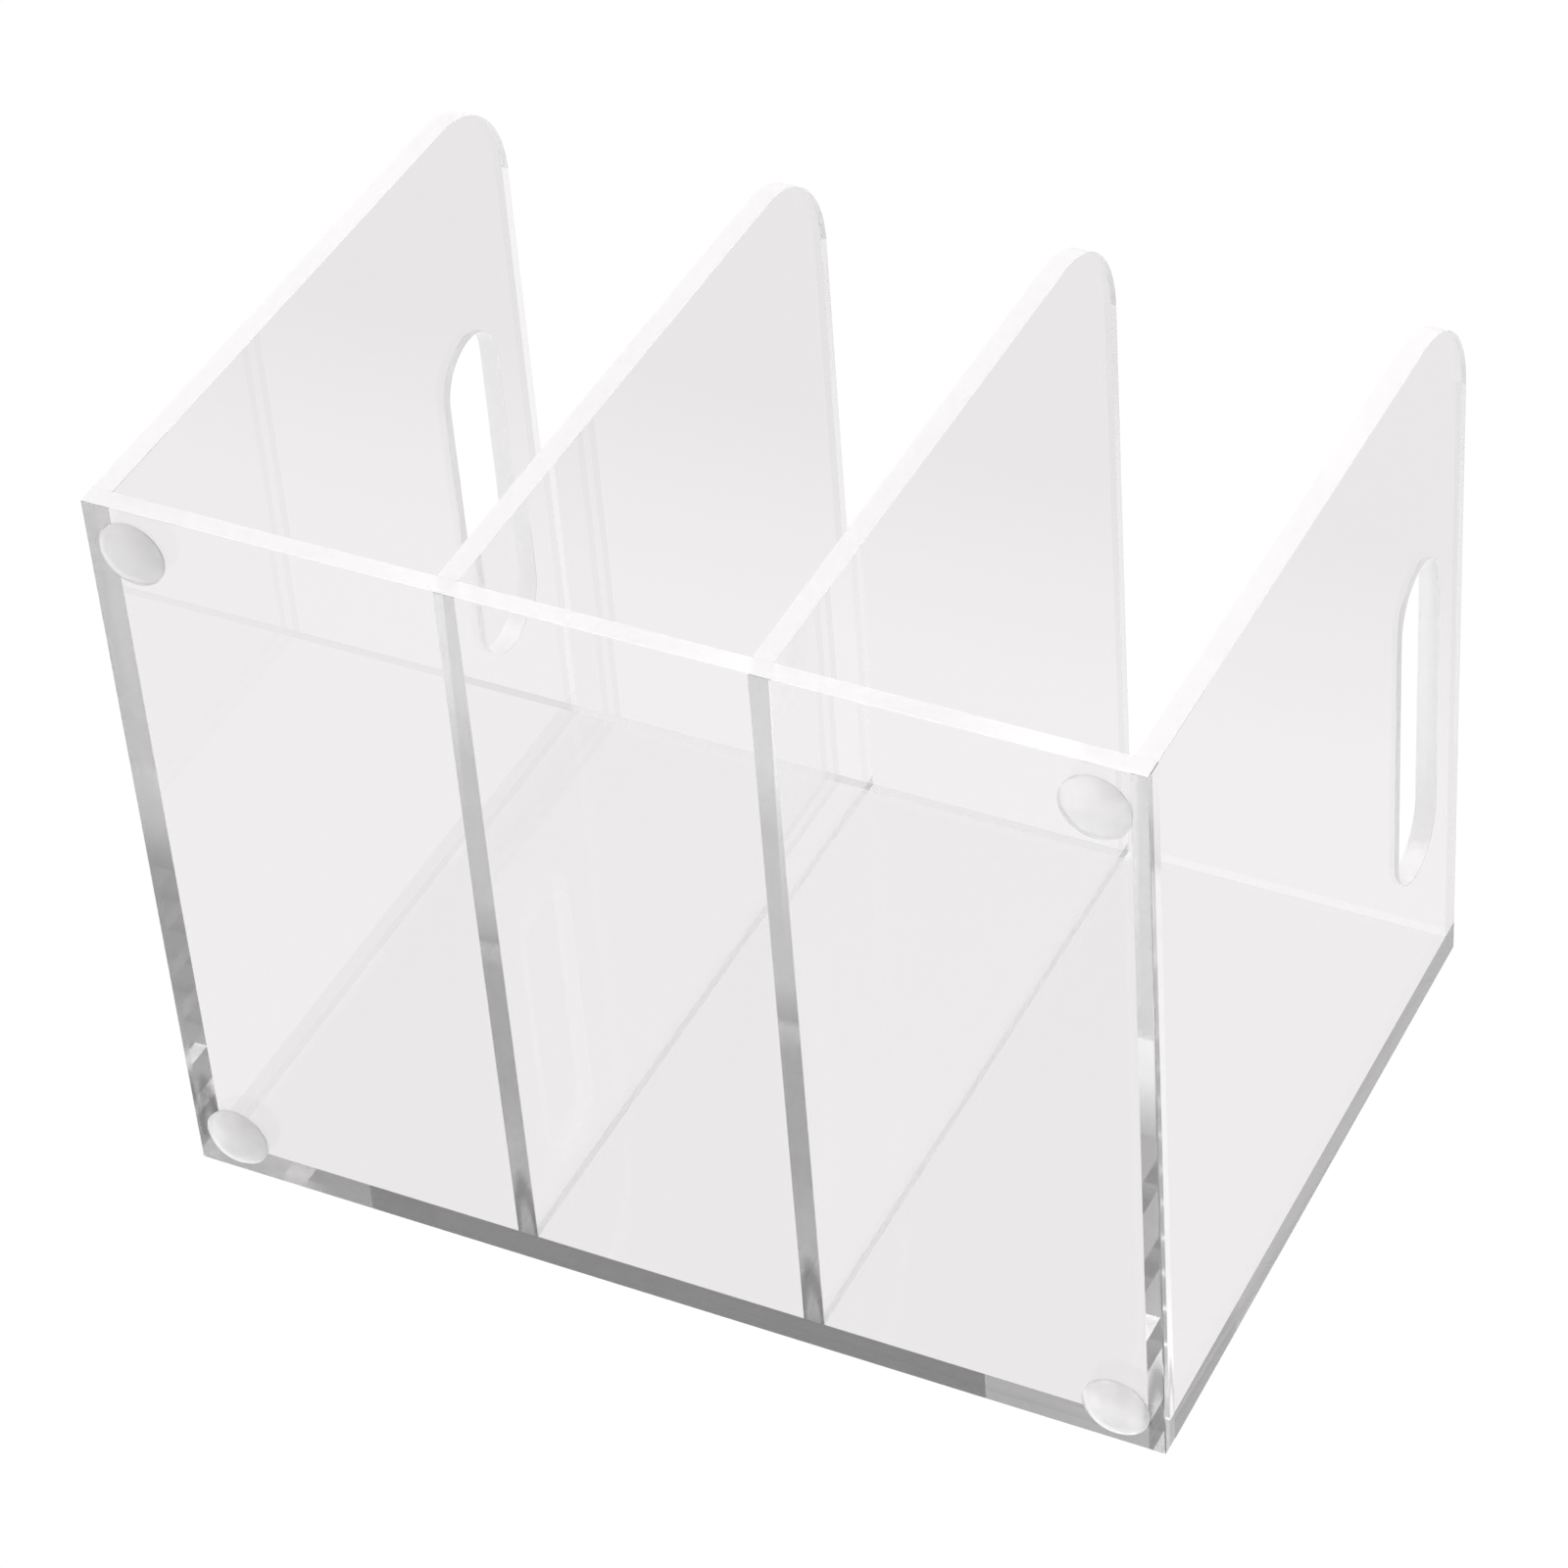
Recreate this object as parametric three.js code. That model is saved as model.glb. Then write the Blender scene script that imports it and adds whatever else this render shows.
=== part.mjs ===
// Desktop file sorter of clear acrylic sheet: a base, a back and four uprights glued edge to
// face, standing on four clear stick-on feet. Nothing on it moves.
// Millimetres, +Z up. The open front faces -Y, and the origin is on the desk under the middle.
import * as THREE from "three";

// Driving dimensions
const WIDTH = 290; // across the two side panels
const DEPTH = 230; // front edges to the back panel's outer face
const BODY_HEIGHT = 210; // underside of the base to the top edges, without the feet
const SHEET = 6; // thickness of every acrylic sheet

const DIVIDER_FROM_MIDDLE = 43; // middle of a divider's thickness
const CORNER_RADIUS = 32; // front top corner of every upright

const SLOT_LENGTH = 107; // handle slot, round ends included
const SLOT_WIDTH = 28;
const SLOT_BELOW_TOP = 31; // top edge to the slot's centre line
const SLOT_FROM_BACK = 106.5; // back panel's outer face to the slot's middle

const FOOT_RADIUS = 9.5;
const FOOT_HEIGHT = 4;
const FOOT_TREAD_RADIUS = 3; // flat tip of the dome, which stands on the desk
const FOOT_RIM_HEIGHT = 0.5; // straight edge next to the glue
const FOOT_FROM_SIDE = 13.5; // base's edges to the foot's centre
const FOOT_FROM_END = 13;
const GLUE_RADIUS = 9; // disc of clear adhesive behind each foot
const GLUE_THICKNESS = 0.4;

const OUTLINE_ARC_STEPS = 24; // on each arc of a sheet's outline
const FOOT_ARC_STEPS = 8; // on the foot's curved side
const ROUND_STEPS = 48; // around a foot

// Levels and inner sizes that follow from them
const BASE_BOTTOM = FOOT_HEIGHT + GLUE_THICKNESS;
const BASE_TOP = BASE_BOTTOM + SHEET;
const UPRIGHT_HEIGHT = BODY_HEIGHT - SHEET;
const FRONT = -DEPTH / 2;
const BACK = DEPTH / 2;
const INNER_WIDTH = WIDTH - 2 * SHEET;

const ACRYLIC = { color: 0xf4f7f8, roughness: 0.04, metalness: 0, transparent: true, opacity: 0.3 };
const FOOT_PLASTIC = { color: 0xeceded, roughness: 0.28, metalness: 0, transparent: true, opacity: 0.6 };
const GLUE = { color: 0xf2f2ee, roughness: 0.5, metalness: 0, transparent: true, opacity: 0.7 };

const sorter = new THREE.Group();

function addPart(name, geometry, look, x, y, z) {
  const mesh = new THREE.Mesh(geometry, new THREE.MeshStandardMaterial(look));
  mesh.name = name;
  mesh.position.set(x, y, z);
  sorter.add(mesh);
  return mesh;
}

// Upright outline seen from the side: x runs to the back, y runs up, (0, 0) is the front bottom.
function uprightOutline(length) {
  const outline = new THREE.Shape();
  outline.moveTo(0, 0);
  outline.lineTo(length, 0);
  outline.lineTo(length, UPRIGHT_HEIGHT);
  outline.lineTo(CORNER_RADIUS, UPRIGHT_HEIGHT);
  outline.absarc(
    CORNER_RADIUS, UPRIGHT_HEIGHT - CORNER_RADIUS, CORNER_RADIUS, Math.PI / 2, Math.PI, false,
  );
  outline.lineTo(0, 0);
  return outline;
}

// Handle slot: two half circles joined by straight edges, parallel to the top edge.
function handleSlot() {
  const radius = SLOT_WIDTH / 2;
  const middle = DEPTH - SLOT_FROM_BACK;
  const reach = SLOT_LENGTH / 2 - radius;
  const height = UPRIGHT_HEIGHT - SLOT_BELOW_TOP;
  const slot = new THREE.Path();
  slot.moveTo(middle - reach, height - radius);
  slot.absarc(middle + reach, height, radius, -Math.PI / 2, Math.PI / 2, false);
  slot.absarc(middle - reach, height, radius, Math.PI / 2, (3 * Math.PI) / 2, false);
  return slot;
}

// Stands a side-view outline up on the base, with the sheet's thickness along +X.
function addUpright(name, outline, left) {
  const geometry = new THREE.ExtrudeGeometry(outline, {
    depth: SHEET,
    bevelEnabled: false,
    curveSegments: OUTLINE_ARC_STEPS,
  });
  const mesh = addPart(name, geometry, ACRYLIC, left, FRONT, BASE_TOP);
  const towardsBack = new THREE.Vector3(0, 1, 0);
  const up = new THREE.Vector3(0, 0, 1);
  const across = new THREE.Vector3(1, 0, 0);
  mesh.quaternion.setFromRotationMatrix(new THREE.Matrix4().makeBasis(towardsBack, up, across));
}

// Base: the full footprint, under the edges of everything that stands on it.
addPart(
  "base_plate", new THREE.BoxGeometry(WIDTH, DEPTH, SHEET), ACRYLIC,
  0, 0, BASE_BOTTOM + SHEET / 2,
);

// Back: between the side panels, as high as they are.
addPart(
  "back_panel", new THREE.BoxGeometry(INNER_WIDTH, SHEET, UPRIGHT_HEIGHT), ACRYLIC,
  0, BACK - SHEET / 2, BASE_TOP + UPRIGHT_HEIGHT / 2,
);

// Side panels: the full depth, with a handle slot each.
const sidePanels = { left_side_panel: -WIDTH / 2, right_side_panel: WIDTH / 2 - SHEET };
for (const [name, left] of Object.entries(sidePanels)) {
  const outline = uprightOutline(DEPTH);
  outline.holes.push(handleSlot());
  addUpright(name, outline, left);
}

// Dividers: from the front to the back panel's inner face.
const dividers = { left_divider: -DIVIDER_FROM_MIDDLE, right_divider: DIVIDER_FROM_MIDDLE };
for (const [name, middle] of Object.entries(dividers)) {
  addUpright(name, uprightOutline(DEPTH - SHEET), middle - SHEET / 2);
}

// Foot: a shallow dome with its tip cut flat, on a straight rim, turned about its axis. The dome
// is part of the ball that passes through the tread's edge and the rim.
function footGeometry() {
  const domeHeight = FOOT_HEIGHT - FOOT_RIM_HEIGHT;
  const ballCentre =
    (FOOT_RADIUS ** 2 - FOOT_TREAD_RADIUS ** 2 + domeHeight ** 2) / (2 * domeHeight);
  const ballRadius = Math.hypot(FOOT_TREAD_RADIUS, ballCentre);
  const treadAngle = Math.asin(FOOT_TREAD_RADIUS / ballRadius);
  const rimAngle = Math.asin(FOOT_RADIUS / ballRadius);
  const profile = [new THREE.Vector2(0, 0)];
  for (let step = 0; step <= FOOT_ARC_STEPS; step += 1) {
    const angle = treadAngle + (rimAngle - treadAngle) * (step / FOOT_ARC_STEPS);
    profile.push(new THREE.Vector2(
      ballRadius * Math.sin(angle),
      ballCentre - ballRadius * Math.cos(angle),
    ));
  }
  profile.push(new THREE.Vector2(FOOT_RADIUS, FOOT_HEIGHT), new THREE.Vector2(0, FOOT_HEIGHT));
  return new THREE.LatheGeometry(profile, ROUND_STEPS);
}

const footColumns = { left: FOOT_FROM_SIDE - WIDTH / 2, right: WIDTH / 2 - FOOT_FROM_SIDE };
const footRows = { front: FRONT + FOOT_FROM_END, back: BACK - FOOT_FROM_END };
for (const [side, x] of Object.entries(footColumns)) {
  for (const [end, y] of Object.entries(footRows)) {
    const foot = addPart(`${end}_${side}_foot`, footGeometry(), FOOT_PLASTIC, x, y, 0);
    foot.rotation.x = Math.PI / 2; // the lathe turns about Y, the foot about Z
    const disc = new THREE.CylinderGeometry(GLUE_RADIUS, GLUE_RADIUS, GLUE_THICKNESS, ROUND_STEPS);
    const glue = addPart(
      `${end}_${side}_foot_adhesive`, disc, GLUE, x, y, FOOT_HEIGHT + GLUE_THICKNESS / 2,
    );
    glue.rotation.x = Math.PI / 2;
  }
}

export default sorter;
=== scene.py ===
"""Looks for the clear acrylic desktop file sorter, in metres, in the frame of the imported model."""
import math

import bmesh
import bpy
from mathutils import Matrix, Vector
from mathutils.geometry import delaunay_2d_cdt


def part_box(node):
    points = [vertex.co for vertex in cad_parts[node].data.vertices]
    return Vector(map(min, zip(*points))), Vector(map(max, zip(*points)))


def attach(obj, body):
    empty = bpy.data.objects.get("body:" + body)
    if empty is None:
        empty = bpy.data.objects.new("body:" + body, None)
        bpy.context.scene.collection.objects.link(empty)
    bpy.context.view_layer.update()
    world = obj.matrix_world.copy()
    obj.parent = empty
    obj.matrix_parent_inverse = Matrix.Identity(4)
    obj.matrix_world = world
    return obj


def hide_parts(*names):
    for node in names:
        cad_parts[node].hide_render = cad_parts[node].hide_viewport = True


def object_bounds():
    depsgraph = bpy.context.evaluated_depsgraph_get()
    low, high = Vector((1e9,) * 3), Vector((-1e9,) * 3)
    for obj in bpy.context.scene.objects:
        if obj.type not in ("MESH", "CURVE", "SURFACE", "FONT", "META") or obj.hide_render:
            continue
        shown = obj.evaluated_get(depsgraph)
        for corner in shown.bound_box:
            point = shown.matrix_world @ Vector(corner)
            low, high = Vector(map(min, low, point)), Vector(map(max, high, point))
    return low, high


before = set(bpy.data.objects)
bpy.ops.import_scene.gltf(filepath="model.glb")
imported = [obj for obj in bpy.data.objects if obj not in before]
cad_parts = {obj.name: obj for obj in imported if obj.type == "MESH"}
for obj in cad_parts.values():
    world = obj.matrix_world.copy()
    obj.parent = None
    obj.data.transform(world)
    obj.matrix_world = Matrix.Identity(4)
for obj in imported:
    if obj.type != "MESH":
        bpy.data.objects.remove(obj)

CAD_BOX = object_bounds()
BODY = "root"

# Sizes of the sheet work that the nodes' boxes don't give
CORNER_RADIUS = 0.032
SLOT_LENGTH, SLOT_WIDTH = 0.107, 0.028
SLOT_BELOW_TOP, SLOT_FROM_BACK = 0.031, 0.1065
QUARTER_STEPS = 24  # facets on a quarter circle of an outline
JOINT_GAP = 0.00002  # between the faces of two sheets that meet, so that they don't coincide
EASED_EDGE = 0.00035  # the small chamfer that polishing leaves
EASED_STEPS = 2
SMOOTH_BELOW = math.radians(20)

# The glued seams: each level is the share of light let through. They were chosen to give the bands that the
# photograph shows in the sheets, and aren't measured properties of a real seam. The changes at the right,
# the back, the dividers' rear half and the right side panel are painted light and shade.
SEAM_MIDDLES = [sum(c.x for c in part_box(node)) / 2 for node in ("right_divider", "right_side_panel")]
BASE_TOP, BACK_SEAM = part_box("base_plate")[1].z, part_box("back_panel")[0].y
SEAM_RIGHT, SEAM_BACK, SEAM_REAR_HALF = 0.13, -0.01, -0.19  # changes at the right, back and dividers' rear: painted light at the right, painted shade at the back and the dividers' rear
REAR_HALF_FADE = (0, 0.012)  # where the dividers' rear half begins
# Seam levels on the side panels: the right side's seam is greyer, which is painted shade
SEAM_ON_SIDE, SEAM_ON_RIGHT_SIDE = 0.97, 0.8
SIDE_FADE = (-0.01, 0.01)  # across the middle, from the left side's level to the right side's
DARK_RING_HALF_WIDTH, DARK_RING_LENGTH, DARK_RING_END = 0.0034, 0.024, 0.112
DARK_RING_REACH = 4  # lengths of the dark ring, over which the ramp below runs
DARK_RING = [  # (distance from the dark ring's middle as a share of its reach, level)
    (0.0, 0.88), (0.13, 0.90), (0.19, 0.70), (0.235, 0.70),
    (0.30, 0.95), (0.44, 0.95), (0.62, 0.875), (1.0, 0.875),
]

# The finish of the sheets
ACRYLIC_IOR = 1.49
EDGE_ROUGH = 0.10
MATT_COLOUR = (0.98, 0.975, 0.975, 1)
MATT_CLARITY, MATT_ROUGH, MATT_GLOW, REAR_GLOW = 0.3, 0.35, 0.3, 0.92

# Sizes of the feet
FOOT_TREAD_RADIUS = 0.003
FOOT_RIM_HEIGHT = 0.0005
ROUND_STEPS = 64
FOOT_CURVE_STEPS = 10

# The studio: levels are linear, 1 is white. They were tuned to the photograph's tones in the main
# view, and no real paper or room has all of them.
STAGE_REACH = 6.0
STAGE_GAP = 0.0004  # the air under the feet and behind the back, so that no two surfaces coincide
PAPER_SEEN = (1.02, 1.02, 1.02)
# Through clear faces the paper is a grey of painted shade, and its reflections are painted too
PAPER_THROUGH_CLEAR = (0.853, 0.833, 0.843)
PAPER_MIRRORED = (0.96, 0.95, 0.95)  # after one reflection in a clear face: a painted reflection, brighter
PAPER_MIRRORED_TWICE = (0.6, 0.59, 0.59)  # after two or more: painted shade, darker
PAPER_FAR_PAST_TOP, FAR_PAST_TOP = 0.93, (0.065, 0.165)  # the three above, dimmed past the top: painted shade
PAPER_LIT, PAPER_BESIDE = 1.35, 1.2  # for scattered light: around the sorter, and past the shade
PAST_TOP_REACH = 0.2
PAST_TOP = [(0.0, 0.35), (0.02, 0.66), (0.075, 0.70), (0.1, 0.88), (0.14, 0.90)]  # painted shade past the top: (metres, level)
BESIDE = (0.06, 0.18)  # metres either side of the middle, where the shade ends
PAPER_RIGHT, RIGHT_START = 0.3, (0.06, 0.13)  # painted light past the top on the right
ROOM_TINT = (1.0, 0.985, 0.99)
ROOM_LEVEL = 0.85
ROOM_ZONES = [  # (axis, degrees fully inside, degrees at the soft edge, level)
    ((0, -1, 0), 62, 84, 0.42),
    ((0, -1, 0), 18, 40, 4.0),
    ((0, 0, 1), 12, 34, 1.5),
    ((-0.7, 0, -0.7), 20, 60, 1.4),
]

FACE, EDGE, SEAM, MATT, REAR = range(5)  # material slots of a sheet


# ---------------------------------------------------------------- materials

def new_material(name):
    material = bpy.data.materials.new(name)
    material.use_nodes = True
    nodes = material.node_tree.nodes
    nodes.clear()
    return material, nodes, material.node_tree.links


def principled(nodes, links, settings):
    shader = nodes.new("ShaderNodeBsdfPrincipled")
    for name, value in settings.items():
        shader.inputs[name].default_value = value
    output = nodes.new("ShaderNodeOutputMaterial")
    links.new(shader.outputs[0], output.inputs["Surface"])
    return shader


def noise(nodes, links, scale, detail):
    """Noise in the frame's own metres."""
    place = nodes.new("ShaderNodeTexCoord")
    texture = nodes.new("ShaderNodeTexNoise")
    texture.inputs["Scale"].default_value = scale
    texture.inputs["Detail"].default_value = detail
    links.new(place.outputs["Object"], texture.inputs["Vector"])
    return texture.outputs["Fac"]


def remap(nodes, links, value, low, high, from_low=0.3, from_high=0.7):
    node = nodes.new("ShaderNodeMapRange")
    node.inputs["From Min"].default_value = from_low
    node.inputs["From Max"].default_value = from_high
    node.inputs["To Min"].default_value = low
    node.inputs["To Max"].default_value = high
    links.new(value, node.inputs["Value"])
    return node.outputs[0]


def bump(nodes, links, height, strength, distance):
    node = nodes.new("ShaderNodeBump")
    node.inputs["Strength"].default_value = strength
    node.inputs["Distance"].default_value = distance
    links.new(height, node.inputs["Height"])
    return node.outputs[0]


def maths(nodes, links, operation, *values):
    """A Math node between sockets or numbers."""
    node = nodes.new("ShaderNodeMath")
    node.operation = operation
    for socket, value in zip(node.inputs, values):
        if isinstance(value, (int, float)):
            socket.default_value = value
        else:
            links.new(value, socket)
    return node.outputs[0]


def mixed_shader(nodes, links, factor, first, second):
    node = nodes.new("ShaderNodeMixShader")
    if isinstance(factor, (int, float)):
        node.inputs[0].default_value = factor
    else:
        links.new(factor, node.inputs[0])
    links.new(first, node.inputs[1])
    links.new(second, node.inputs[2])
    return node.outputs[0]


def frame_position(nodes, links):
    """The X, Y and Z sockets of the shaded point, in the frame's metres."""
    place = nodes.new("ShaderNodeNewGeometry")
    split = nodes.new("ShaderNodeSeparateXYZ")
    links.new(place.outputs["Position"], split.inputs[0])
    return split.outputs


def ramp(nodes, links, value, stops):
    """A grey ramp through (value, grey) stops, the first and last at 0 and 1."""
    node = nodes.new("ShaderNodeValToRGB")
    elements = node.color_ramp.elements
    for (position, level), element in zip((stops[0], stops[-1]), list(elements)):
        element.position, element.color = position, (level, level, level, 1)
    for position, level in stops[1:-1]:
        elements.new(position).color = (level, level, level, 1)
    links.new(value, node.inputs[0])
    return node.outputs[0]


def acrylic_face():
    """Cast acrylic sheet: clear, with the faint waves of a cast face."""
    material, nodes, links = new_material("acrylic_face")
    shader = principled(nodes, links, {
        "Base Color": (0.998, 0.998, 0.998, 1), "Transmission Weight": 1, "IOR": ACRYLIC_IOR,
        "Roughness": 0,
    })
    waves = noise(nodes, links, 14, 1.0)
    links.new(bump(nodes, links, waves, 0.02, 0.0005), shader.inputs["Normal"])
    return material


def acrylic_edge():
    """Polished edge of the sheet: clear, a little rough and faintly uneven."""
    material, nodes, links = new_material("acrylic_edge")
    shader = principled(nodes, links, {
        "Base Color": (0.985, 0.98, 0.98, 1), "Transmission Weight": 1, "IOR": ACRYLIC_IOR,
        "Roughness": EDGE_ROUGH,
    })
    ripples = noise(nodes, links, 60, 2.0)
    links.new(bump(nodes, links, ripples, 0.03, 0.0005), shader.inputs["Normal"])
    return material


def acrylic_matt_edge(name, glow):
    """Sawn and buffed edge: it scatters some of the light both ways and looks whiter than the sheet.
    glow is the share of the surface that only passes light on, scattered."""
    material, nodes, links = new_material(name)
    shader = principled(nodes, links, {
        "Base Color": MATT_COLOUR, "Transmission Weight": MATT_CLARITY, "IOR": ACRYLIC_IOR,
        "Roughness": MATT_ROUGH,
    })
    ripples = noise(nodes, links, 60, 2.0)
    links.new(bump(nodes, links, ripples, 0.05, 0.0005), shader.inputs["Normal"])
    through = nodes.new("ShaderNodeBsdfTranslucent")
    through.inputs["Color"].default_value = MATT_COLOUR
    output = nodes["Material Output"]
    links.new(mixed_shader(nodes, links, glow, shader.outputs[0], through.outputs[0]), output.inputs[0])
    return material


def acrylic_seam():
    """Glued seam: the two sheets are one there, but for a grey cast. On the base it is clearer under the
    right side, and greyer under the back and the dividers' rear half: painted light and shade. The dark
    ring near the back of each upright, with a lighter middle, follows a darkening in the photograph there
    whose cause is not known."""
    material, nodes, links = new_material("acrylic_seam")

    def sum_of(first, second):
        return maths(nodes, links, "ADD", first, second)

    def product(first, second):
        return maths(nodes, links, "MULTIPLY", first, second)

    def scaled(value, centre, length):
        return maths(nodes, links, "DIVIDE", maths(nodes, links, "SUBTRACT", value, centre), length)

    def beyond(value, limit):
        return maths(nodes, links, "GREATER_THAN", value, limit)

    x, y, z = frame_position(nodes, links)
    aside = maths(nodes, links, "ABSOLUTE", x)
    outer = beyond(aside, (SEAM_MIDDLES[0] + SEAM_MIDDLES[1]) / 2)
    middle = sum_of(product(outer, SEAM_MIDDLES[1] - SEAM_MIDDLES[0]), SEAM_MIDDLES[0])
    across = scaled(aside, middle, DARK_RING_HALF_WIDTH)
    along = scaled(y, DARK_RING_END, DARK_RING_LENGTH)
    distance = maths(nodes, links, "SQRT", sum_of(product(across, across), product(along, along)))
    distance = sum_of(product(distance, 1 / DARK_RING_REACH), beyond(y, BACK_SEAM))
    dark_ring = ramp(nodes, links, distance, DARK_RING)
    inner = maths(nodes, links, "SUBTRACT", 1.0, outer)
    # Painted light under the right side, painted shade under the back and the dividers' rear half
    change = product(product(outer, beyond(x, 0)), SEAM_RIGHT)
    change = sum_of(change, product(beyond(y, BACK_SEAM), SEAM_BACK))
    rear_half = product(inner, remap(nodes, links, y, 0, 1, *REAR_HALF_FADE))
    change = sum_of(change, product(rear_half, SEAM_REAR_HALF))
    cast = remap(nodes, links, noise(nodes, links, 120, 3.0), 0.99, 1.01)
    base_level = product(product(dark_ring, sum_of(change, 1.0)), cast)
    # On the side panels the seam is greyer on the right side: painted shade
    on_side = beyond(z, BASE_TOP + JOINT_GAP * 2)
    level = nodes.new("ShaderNodeMix")
    level.data_type = "FLOAT"
    links.new(on_side, level.inputs[0])
    links.new(base_level, level.inputs[2])
    links.new(remap(nodes, links, x, SEAM_ON_SIDE, SEAM_ON_RIGHT_SIDE, *SIDE_FADE), level.inputs[3])
    tint = nodes.new("ShaderNodeCombineColor")
    for socket in tint.inputs:
        links.new(level.outputs[0], socket)
    clear = nodes.new("ShaderNodeBsdfTransparent")
    links.new(tint.outputs[0], clear.inputs["Color"])
    output = nodes.new("ShaderNodeOutputMaterial")
    links.new(clear.outputs[0], output.inputs["Surface"])
    return material


def foot_material():
    """Clear polyurethane dome: a little hazy inside, glossy outside."""
    material, nodes, links = new_material("foot_polyurethane")
    shader = principled(nodes, links, {
        "Base Color": (0.86, 0.855, 0.855, 1), "Transmission Weight": 0.6, "IOR": 1.5,
        "Coat Weight": 1, "Coat Roughness": 0.06, "Coat IOR": 1.5,
    })
    haze = noise(nodes, links, 150, 2.0)
    links.new(remap(nodes, links, haze, 0.35, 0.45), shader.inputs["Roughness"])
    return material


def adhesive_material():
    """Milky acrylic adhesive."""
    material, nodes, links = new_material("foot_adhesive")
    clear = nodes.new("ShaderNodeBsdfTransparent")
    milk = nodes.new("ShaderNodeBsdfDiffuse")
    milk.inputs["Color"].default_value = (0.97, 0.97, 0.97, 1)
    haze = remap(nodes, links, noise(nodes, links, 150, 2.0), 0.75, 0.8)
    output = nodes.new("ShaderNodeOutputMaterial")
    links.new(mixed_shader(nodes, links, haze, clear.outputs[0], milk.outputs[0]), output.inputs["Surface"])
    return material


SHEET_MATERIALS = [
    acrylic_face(), acrylic_edge(), acrylic_seam(), acrylic_matt_edge("acrylic_matt_edge", MATT_GLOW),
    acrylic_matt_edge("acrylic_rear_edge", REAR_GLOW),
]
FOOT_MATERIAL = foot_material()
ADHESIVE_MATERIAL = adhesive_material()


# ------------------------------------------------------------------ outlines

def arc(centre, radius, start, end, steps):
    """Points along an arc, in degrees, both ends included."""
    points = []
    for step in range(steps + 1):
        angle = math.radians(start + (end - start) * step / steps)
        points.append((centre[0] + radius * math.cos(angle), centre[1] + radius * math.sin(angle)))
    return points


def rectangle(low, high):
    return [(low[0], low[1]), (high[0], low[1]), (high[0], high[1]), (low[0], high[1])]


def tagged(points, seams=(), matt=()):
    """An outline as (point, material of the edge to the next point), given the numbers of its edges."""
    return [(p, SEAM if i in seams else MATT if i in matt else EDGE) for i, p in enumerate(points)]


def split_at(outline, points):
    """The outline with a corner added wherever one of the points lies on an edge."""
    result = []
    for (start, tag), (end, _) in zip(outline, outline[1:] + outline[:1]):
        a, b = Vector(start), Vector(end)
        along, length = (b - a).normalized(), (b - a).length
        on_edge = []
        for point in points:
            p = Vector(point) - a
            distance = p.dot(along)
            if 1e-6 < distance < length - 1e-6 and (p - along * distance).length < 1e-6:
                on_edge.append((distance, tuple(point)))
        result.append((start, tag))
        result.extend((point, tag) for _, point in sorted(set(on_edge)))
    return result


# -------------------------------------------------------------------- sheets

def cap_triangles(outline, holes, patches):
    """One face of a sheet as (three corners, material): patches are glued areas."""
    points, loops = [], []
    for loop in [outline, *holes, *patches]:
        loops.append(list(range(len(points), len(points) + len(loop))))
        points.extend(Vector(p) for p in loop)
    corners, _, triangles, _, _, sources = delaunay_2d_cdt(points, [], loops, 0, 1e-7)
    first_patch = 1 + len(holes)
    for triangle, inside in zip(triangles, sources):
        if 0 in inside and not any(0 < k < first_patch for k in inside):
            glued = any(k >= first_patch for k in inside)
            yield [tuple(corners[c]) for c in triangle], SEAM if glued else FACE


def sheet(name, node, place, low, high, outline, holes=(), low_patches=(), high_patches=(), easing=True):
    """A closed sheet between the levels low and high of its thickness axis.
    place turns (u, v, level) into a point of the frame. Easing breaks the free edges, but for a
    divider's rear ones, and glued ones stay sharp."""
    patch_points = [p for patch in [*low_patches, *high_patches] for p in patch]
    outline = split_at(outline, patch_points)
    mesh = bmesh.new()
    made = {}

    def vertex(u, v, level):
        key = (round(u, 6), round(v, 6), round(level, 6))
        if key not in made:
            made[key] = mesh.verts.new(place(u, v, level))
        return made[key]

    def face(corners, material):
        made_face = mesh.faces.new(corners)
        made_face.material_index = material

    loops = [outline, *(tagged(hole, matt=range(len(hole))) for hole in holes)]
    for level, patches in ((low, low_patches), (high, high_patches)):
        for corners, material in cap_triangles([p for p, _ in outline], holes, patches):
            face([vertex(u, v, level) for u, v in corners], material)
    for loop in loops:
        for (start, tag), (end, _) in zip(loop, loop[1:] + loop[:1]):
            face([vertex(*start, low), vertex(*end, low), vertex(*end, high), vertex(*start, high)], tag)
    bmesh.ops.recalc_face_normals(mesh, faces=mesh.faces)

    eased = []
    for edge in mesh.edges:
        if len(edge.link_faces) == 2:
            kinds = sorted(f.material_index for f in edge.link_faces)
            corner = SEAM not in kinds and FACE not in kinds and edge.calc_face_angle() > math.radians(60)
            if easing and (kinds in ([FACE, EDGE], [FACE, MATT]) or corner):
                eased.append(edge)
    bmesh.ops.bevel(
        mesh, geom=eased, offset=EASED_EDGE, offset_type="OFFSET", segments=EASED_STEPS,
        profile=0.5, affect="EDGES", material=-1, clamp_overlap=True,
    )
    return finished(name, mesh, SHEET_MATERIALS, node)


def finished(name, mesh, materials, node):
    """Turns the bmesh into a smooth-shaded piece that rides on the body and stands for its node."""
    data = bpy.data.meshes.new(name)
    mesh.to_mesh(data)
    mesh.free()
    for material in materials:
        data.materials.append(material)
    for polygon in data.polygons:
        polygon.use_smooth = True
    data.set_sharp_from_angle(angle=SMOOTH_BELOW)
    piece = bpy.data.objects.new(name, data)
    bpy.context.scene.collection.objects.link(piece)
    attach(piece, BODY)
    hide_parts(node)
    return piece


def footprint(node, axes):
    """A node's box seen along one axis, as a rectangle in the other two."""
    low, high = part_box(node)
    return rectangle([low[a] for a in axes], [high[a] for a in axes])


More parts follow.
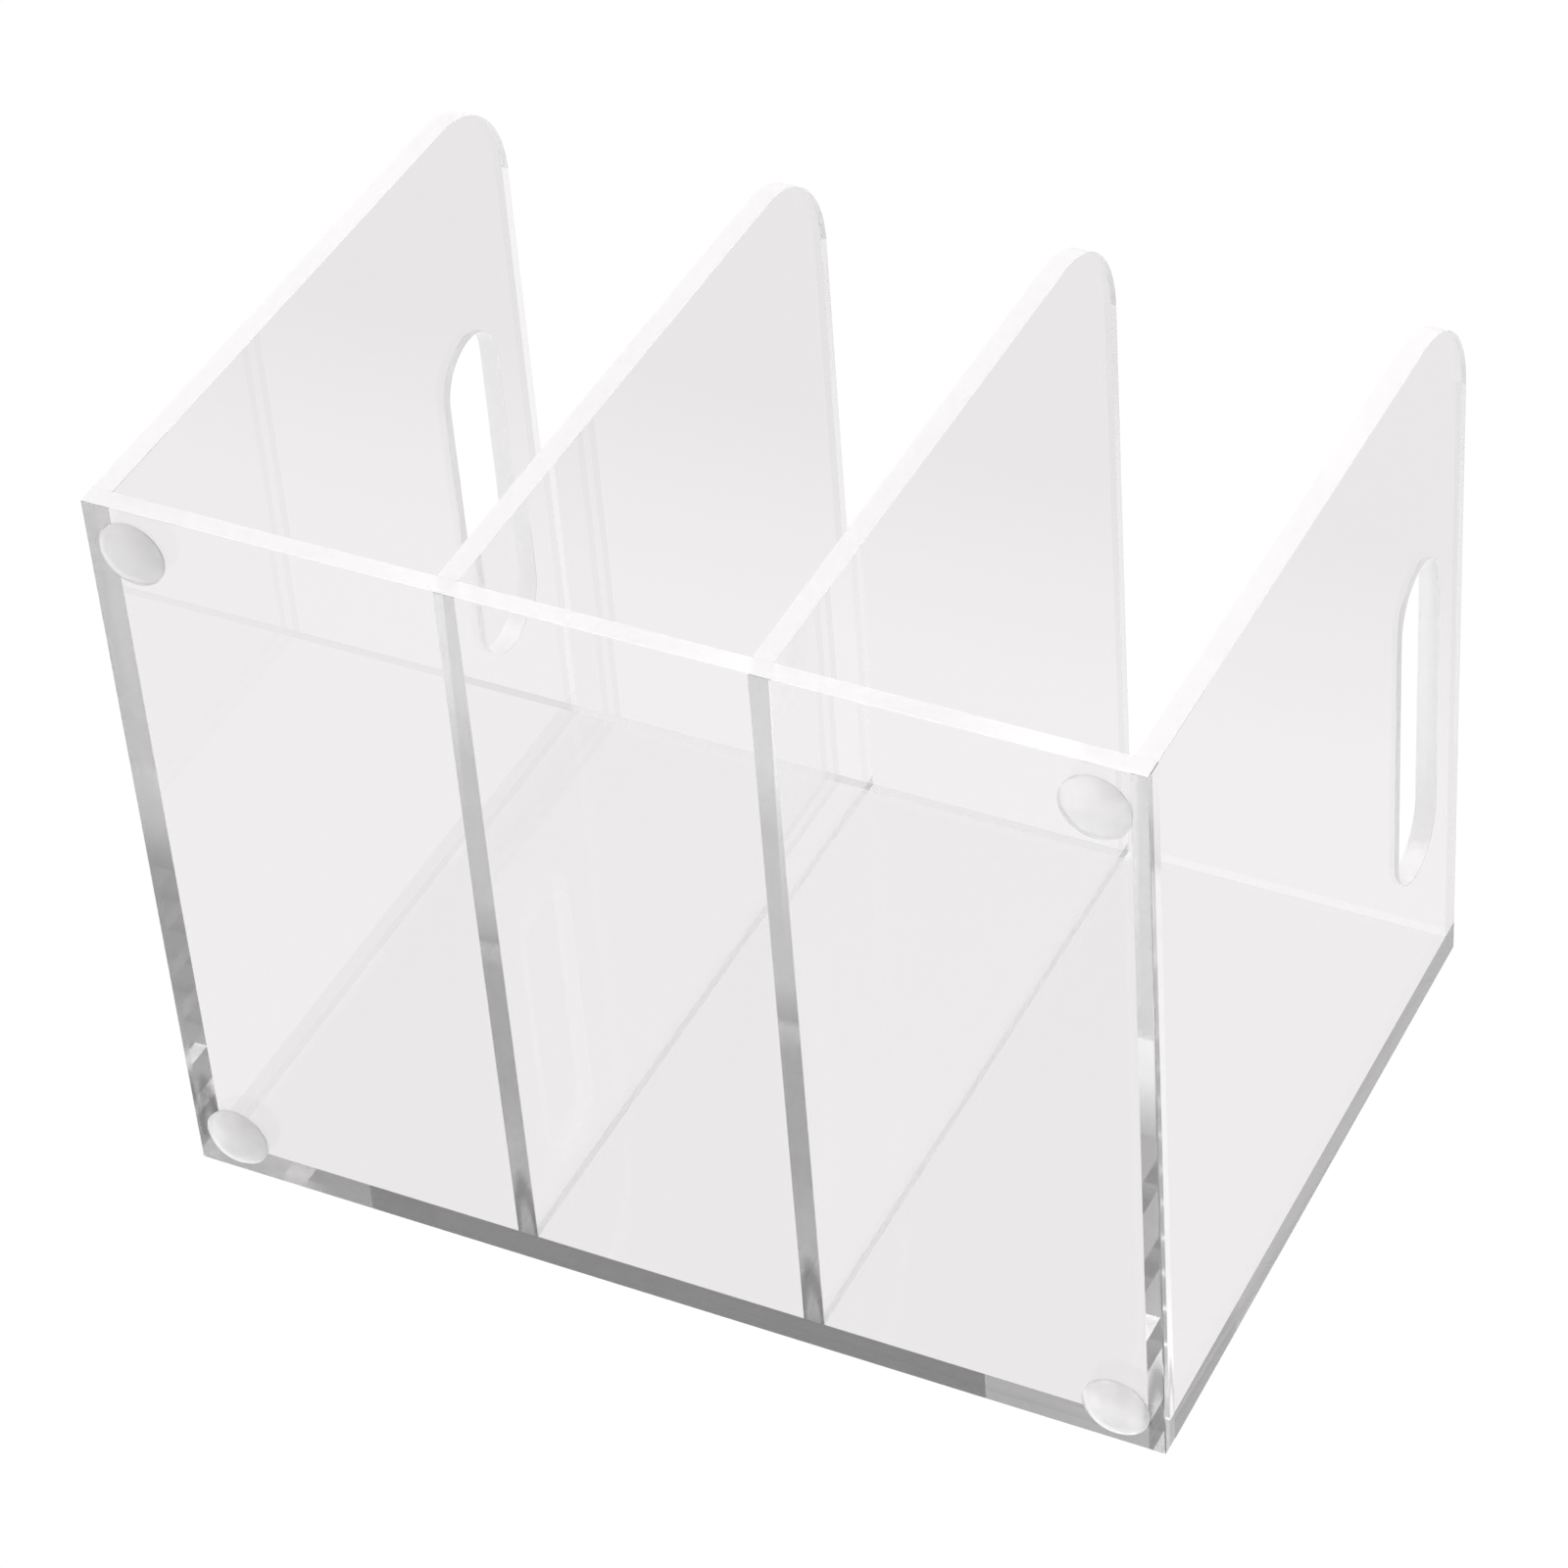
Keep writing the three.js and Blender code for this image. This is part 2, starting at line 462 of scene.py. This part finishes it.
def upright_outline(node, clear_of_back):
    """Side view of an upright, (y, z): the bottom edge is glued, and a divider's rear edge is not."""
    low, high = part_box(node)
    centre = (low.y + CORNER_RADIUS, high.z - CORNER_RADIUS)
    bottom, back = low.z + JOINT_GAP, high.y - (JOINT_GAP if clear_of_back else 0)
    points = [(low.y, bottom), (back, bottom), (back, high.z)]
    front = range(3, 4 + QUARTER_STEPS)
    points += arc(centre, CORNER_RADIUS, 90, 180, QUARTER_STEPS)
    outline = tagged(points, seams=(0,), matt=front)
    outline[1] = (outline[1][0], REAR if clear_of_back else FACE)
    return outline


def handle_slot():
    """The slot's outline in side view, (y, z)."""
    low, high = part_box("left_side_panel")
    radius = SLOT_WIDTH / 2
    middle = high.y - SLOT_FROM_BACK
    height = high.z - SLOT_BELOW_TOP
    reach = SLOT_LENGTH / 2 - radius
    front = arc((middle - reach, height), radius, 90, 270, 2 * QUARTER_STEPS)
    back = arc((middle + reach, height), radius, -90, 90, 2 * QUARTER_STEPS)
    return front + back


def upright(name, node, clear_of_back, holes=(), low_patches=(), high_patches=()):
    low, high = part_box(node)
    return sheet(
        name, node, lambda y, z, x: (x, y, z), low.x, high.x,
        upright_outline(node, clear_of_back), holes, low_patches, high_patches,
    )


def adhesive_circle(node):
    low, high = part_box(node)
    centre = (low + high) / 2
    return arc(centre, (high.x - low.x) / 2, 0, 360, ROUND_STEPS)[:-1]


def upright_footprint(node):
    """An upright's glued bottom edge, seen from above."""
    low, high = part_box(node)
    back = high.y - (JOINT_GAP if node in DIVIDERS else 0)
    return rectangle((low.x, low.y), (high.x, back))


FEET = ["front_left", "front_right", "back_left", "back_right"]
DIVIDERS = ["left_divider", "right_divider"]
UPRIGHTS = ["left_side_panel", "right_side_panel", *DIVIDERS]


def build_sheets():
    seam_to_back = footprint("back_panel", (1, 2))
    slot = handle_slot()
    upright("acrylic_left_side", "left_side_panel", False, [slot], high_patches=[seam_to_back])
    upright("acrylic_right_side", "right_side_panel", False, [slot], low_patches=[seam_to_back])
    upright("acrylic_left_divider", "left_divider", True)
    upright("acrylic_right_divider", "right_divider", True)

    low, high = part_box("back_panel")
    left, right, bottom = low.x + JOINT_GAP, high.x - JOINT_GAP, low.z + JOINT_GAP
    back_outline = tagged(rectangle((left, bottom), (right, high.z)), seams=(0, 1, 3))
    sheet(
        "acrylic_back", "back_panel", lambda x, z, y: (x, y, z), low.y, high.y,
        back_outline, easing=False,
    )

    low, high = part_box("base_plate")
    feet = [adhesive_circle(f"{foot}_foot_adhesive") for foot in FEET]
    sheet(
        "acrylic_base", "base_plate", lambda x, y, z: (x, y, z), low.z, high.z,
        tagged(rectangle((low.x, low.y), (high.x, high.y)), matt=(0,)),
        low_patches=feet,
        high_patches=[*(upright_footprint(node) for node in UPRIGHTS), footprint("back_panel", (0, 1))],
    )


# ---------------------------------------------------------------------- feet

def turned(name, node, profile, materials, centre):
    """A closed solid turned about a vertical axis. profile holds (radius, z, material to the next)."""
    mesh = bmesh.new()
    rings = []
    for radius, z, _ in profile:
        if radius == 0:
            rings.append([mesh.verts.new((centre.x, centre.y, z))] * ROUND_STEPS)
        else:
            points = arc(centre, radius, 0, 360, ROUND_STEPS)[:-1]
            rings.append([mesh.verts.new((x, y, z)) for x, y in points])
    for (low, high), (_, _, material) in zip(zip(rings, rings[1:]), profile):
        for i in range(ROUND_STEPS):
            j = (i + 1) % ROUND_STEPS
            corners = list(dict.fromkeys([low[i], low[j], high[j], high[i]]))
            made = mesh.faces.new(corners)
            made.material_index = material
    bmesh.ops.recalc_face_normals(mesh, faces=mesh.faces)
    return finished(name, mesh, materials, node)


def build_foot(corner):
    node = f"{corner}_foot"
    glue = f"{corner}_foot_adhesive"
    low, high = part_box(node)
    centre = (low + high) / 2
    radius = (high.x - low.x) / 2
    glue_low, glue_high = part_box(glue)
    glue_radius = (glue_high.x - glue_low.x) / 2
    dome = high.z - FOOT_RIM_HEIGHT - low.z
    ball_centre = (radius ** 2 - FOOT_TREAD_RADIUS ** 2 + dome ** 2) / (2 * dome)
    ball_radius = math.hypot(FOOT_TREAD_RADIUS, ball_centre)
    tread_angle, rim_angle = math.asin(FOOT_TREAD_RADIUS / ball_radius), math.asin(radius / ball_radius)
    body, bond = 0, 1
    profile = [(0, low.z, body)]
    for step in range(FOOT_CURVE_STEPS + 1):
        angle = tread_angle + (rim_angle - tread_angle) * step / FOOT_CURVE_STEPS
        height = low.z + ball_centre - ball_radius * math.cos(angle)
        profile.append((ball_radius * math.sin(angle), height, body))
    profile += [(radius, high.z, body), (glue_radius, high.z, bond), (0, high.z, bond)]
    turned(
        f"bumper_{corner}", node, profile,
        [FOOT_MATERIAL, SHEET_MATERIALS[SEAM]], centre,
    )
    disc = [(0, glue_low.z, 0), (glue_radius, glue_low.z, 0)]
    disc += [(glue_radius, glue_high.z, 0), (0, glue_high.z, 0)]
    turned(f"bumper_adhesive_{corner}", glue, disc, [ADHESIVE_MATERIAL], centre)


# --------------------------------------------------------- stage, light, camera

# The sorter lies on its back panel in the main view, so that view's own upright axes are the
# frame's turned a quarter turn about X: up is -Y, and away from the viewer is +Z.
LYING = Matrix.Rotation(math.radians(90), 4, "X")
VIEW_AZIMUTH, VIEW_ELEVATION, VIEW_ROLL = 29.08, 40.34, -4.83  # degrees
VIEW_DISTANCE = 1.4311
VIEW_AIM = Vector((-0.0033, 0.0988, -0.009))  # in the lying axes
LENS, SENSOR = 122.9, 36.0


def make_camera():
    data = bpy.data.cameras.new("camera")
    data.lens, data.sensor_width = LENS, SENSOR
    camera = bpy.data.objects.new("camera", data)
    bpy.context.scene.collection.objects.link(camera)
    azimuth, elevation = math.radians(VIEW_AZIMUTH), math.radians(VIEW_ELEVATION)
    reach = math.cos(elevation)
    back = Vector((math.sin(azimuth) * reach, -math.cos(azimuth) * reach, math.sin(elevation)))
    turn = (-back).to_track_quat("-Z", "Y").to_matrix().to_4x4()
    roll = Matrix.Rotation(math.radians(VIEW_ROLL), 4, "Z")
    place = Matrix.Translation(VIEW_AIM + back * VIEW_DISTANCE)
    camera.matrix_world = LYING @ place @ turn @ roll
    bpy.context.scene.camera = camera


def emission(nodes, colour, strength=1.0):
    node = nodes.new("ShaderNodeEmission")
    node.inputs["Color"].default_value = (*colour, 1)
    node.inputs["Strength"].default_value = strength
    return node.outputs[0]


def shaded_paper(nodes, links):
    """The paper for scattered light: bright around the sorter, darker just past its top edges, where a soft
    shade would lie, and brighter on the right past the top. The shade and the light on the right are
    painted on, not cast."""
    x, _, z = frame_position(nodes, links)
    top = CAD_BOX[1].z
    past_top = remap(nodes, links, z, 0, 1, top - PAST_TOP_REACH, top + PAST_TOP_REACH)
    stops = [(0.0, PAPER_LIT), (0.499, PAPER_LIT)]
    stops += [(0.5 + 0.5 * distance / PAST_TOP_REACH, level) for distance, level in PAST_TOP]
    shade = ramp(nodes, links, past_top, [*stops, (1.0, PAST_TOP[-1][1])])
    aside = maths(nodes, links, "ABSOLUTE", x)
    beside = remap(nodes, links, aside, 0, 1, *BESIDE)
    past_shade = remap(nodes, links, z, 0, 1, top + PAST_TOP[1][0], top + PAST_TOP[3][0])
    level = nodes.new("ShaderNodeMix")
    level.data_type = "RGBA"
    level.inputs[7].default_value = (PAPER_BESIDE, PAPER_BESIDE, PAPER_BESIDE, 1)
    links.new(maths(nodes, links, "MULTIPLY", beside, past_shade), level.inputs[0])
    links.new(shade, level.inputs[6])
    beyond_top = maths(nodes, links, "GREATER_THAN", z, top)
    # Painted light: the paper past the top is brighter on the right
    on_right = remap(nodes, links, x, 0, PAPER_RIGHT, *RIGHT_START)
    right = maths(nodes, links, "MULTIPLY", beyond_top, on_right)
    right = maths(nodes, links, "ADD", right, 1.0)
    node = nodes.new("ShaderNodeEmission")
    links.new(level.outputs[2], node.inputs["Color"])
    links.new(right, node.inputs["Strength"])
    return node.outputs[0]


def glazed_paper(nodes, links, reflections):
    """The paper as seen through clear faces, by the number of times they have mirrored it, dimmed past the
    top. Real paper has one level for all three, and these were tuned to the photograph: they are painted
    shade and painted reflections."""
    _, _, z = frame_position(nodes, links)
    # Painted shade: the paper dims past the top
    start, end = (CAD_BOX[1].z + distance for distance in FAR_PAST_TOP)
    fall = remap(nodes, links, z, 1, PAPER_FAR_PAST_TOP, start, end)
    papers = []
    for colour in (PAPER_THROUGH_CLEAR, PAPER_MIRRORED, PAPER_MIRRORED_TWICE):
        papers.append(nodes.new("ShaderNodeEmission"))
        papers[-1].inputs["Color"].default_value = (*colour, 1)
        links.new(fall, papers[-1].inputs["Strength"])
    once = maths(nodes, links, "GREATER_THAN", reflections, 0.5)
    twice = maths(nodes, links, "GREATER_THAN", reflections, 1.5)
    seen = mixed_shader(nodes, links, once, papers[0].outputs[0], papers[1].outputs[0])
    return mixed_shader(nodes, links, twice, seen, papers[2].outputs[0])


def paper(name, lights_the_sorter):
    """One-sided studio paper. Seen directly it is blown out to white, and through a clear face it is a pale
    grey of painted shade, with painted reflections, that depends on the reflections on the way. For
    scattered light it has painted-on shade and light if it lights the sorter, and isn't there if not."""
    material, nodes, links = new_material(name)
    material.cycles.emission_sampling = "NONE"
    path = nodes.new("ShaderNodeLightPath")
    side = nodes.new("ShaderNodeNewGeometry")
    clear = nodes.new("ShaderNodeBsdfTransparent")
    real = shaded_paper(nodes, links) if lights_the_sorter else clear.outputs[0]
    glazed = glazed_paper(nodes, links, path.outputs["Glossy Depth"])
    body = mixed_shader(nodes, links, path.outputs["Is Singular Ray"], real, glazed)
    body = mixed_shader(nodes, links, path.outputs["Is Camera Ray"], body, emission(nodes, PAPER_SEEN))
    body = mixed_shader(nodes, links, side.outputs["Backfacing"], body, clear.outputs[0])
    output = nodes.new("ShaderNodeOutputMaterial")
    links.new(body, output.inputs["Surface"])
    return material


def large_plane(name, corners, lights_the_sorter):
    """A large plane, its front on the side that its corners run counter-clockwise on."""
    data = bpy.data.meshes.new(name)
    data.from_pydata(corners, [], [range(4)])
    data.materials.append(paper(name, lights_the_sorter))
    plane = bpy.data.objects.new(name, data)
    bpy.context.scene.collection.objects.link(plane)


def make_stage():
    low, high = CAD_BOX
    floor, wall = low.z - STAGE_GAP, high.y + STAGE_GAP
    reach = STAGE_REACH
    large_plane("floor", [
        (-reach, -reach, floor), (reach, -reach, floor), (reach, reach, floor), (-reach, reach, floor),
    ], False)
    large_plane("backdrop", [
        (-reach, wall, -reach), (reach, wall, -reach), (reach, wall, reach), (-reach, wall, reach),
    ], True)


def nearness(nodes, links, direction, axis, near, far):
    """1 within the angle near (degrees) of the axis, falling smoothly to 0 at the angle far."""
    dot = nodes.new("ShaderNodeVectorMath")
    dot.operation = "DOT_PRODUCT"
    links.new(direction, dot.inputs[0])
    dot.inputs[1].default_value = Vector(axis).normalized()
    fall = nodes.new("ShaderNodeMapRange")
    fall.interpolation_type = "SMOOTHSTEP"
    fall.inputs["From Min"].default_value = math.cos(math.radians(far))
    fall.inputs["From Max"].default_value = math.cos(math.radians(near))
    links.new(dot.outputs["Value"], fall.inputs["Value"])
    return fall.outputs[0]


def make_world():
    """A white room with a grey ring and a soft box above the sorter as it lies, a soft box above it as
    it stands, and more light from the lower left as it stands."""
    world = bpy.data.worlds.new("studio")
    bpy.context.scene.world = world
    world.use_nodes = True
    nodes, links = world.node_tree.nodes, world.node_tree.links
    nodes.clear()
    place = nodes.new("ShaderNodeTexCoord")
    direction = place.outputs["Generated"]
    level = ROOM_LEVEL
    for axis, near, far, value in ROOM_ZONES:
        mix = nodes.new("ShaderNodeMix")
        mix.data_type = "FLOAT"
        links.new(nearness(nodes, links, direction, axis, near, far), mix.inputs[0])
        if isinstance(level, float):
            mix.inputs[2].default_value = level
        else:
            links.new(level, mix.inputs[2])
        mix.inputs[3].default_value = value
        level = mix.outputs[0]
    background = nodes.new("ShaderNodeBackground")
    background.inputs["Color"].default_value = (*ROOM_TINT, 1)
    links.new(level, background.inputs["Strength"])
    output = nodes.new("ShaderNodeOutputWorld")
    links.new(background.outputs[0], output.inputs["Surface"])


def set_cycles():
    """Plain white tones, enough bounces for light caught in the sheets, a limit on stray bright rays,
    and the denoiser inputs that keep the matt edges free of speckle."""
    scene = bpy.context.scene
    scene.view_settings.view_transform = "Standard"
    scene.cycles.max_bounces = 64
    scene.cycles.glossy_bounces = 64
    scene.cycles.transmission_bounces = 64
    scene.cycles.transparent_max_bounces = 64
    scene.cycles.diffuse_bounces = 4
    scene.cycles.sample_clamp_indirect = 4
    scene.cycles.denoising_input_passes = "RGB_ALBEDO"


make_camera()
build_sheets()
for corner in FEET:
    build_foot(corner)
make_stage()
make_world()
set_cycles()
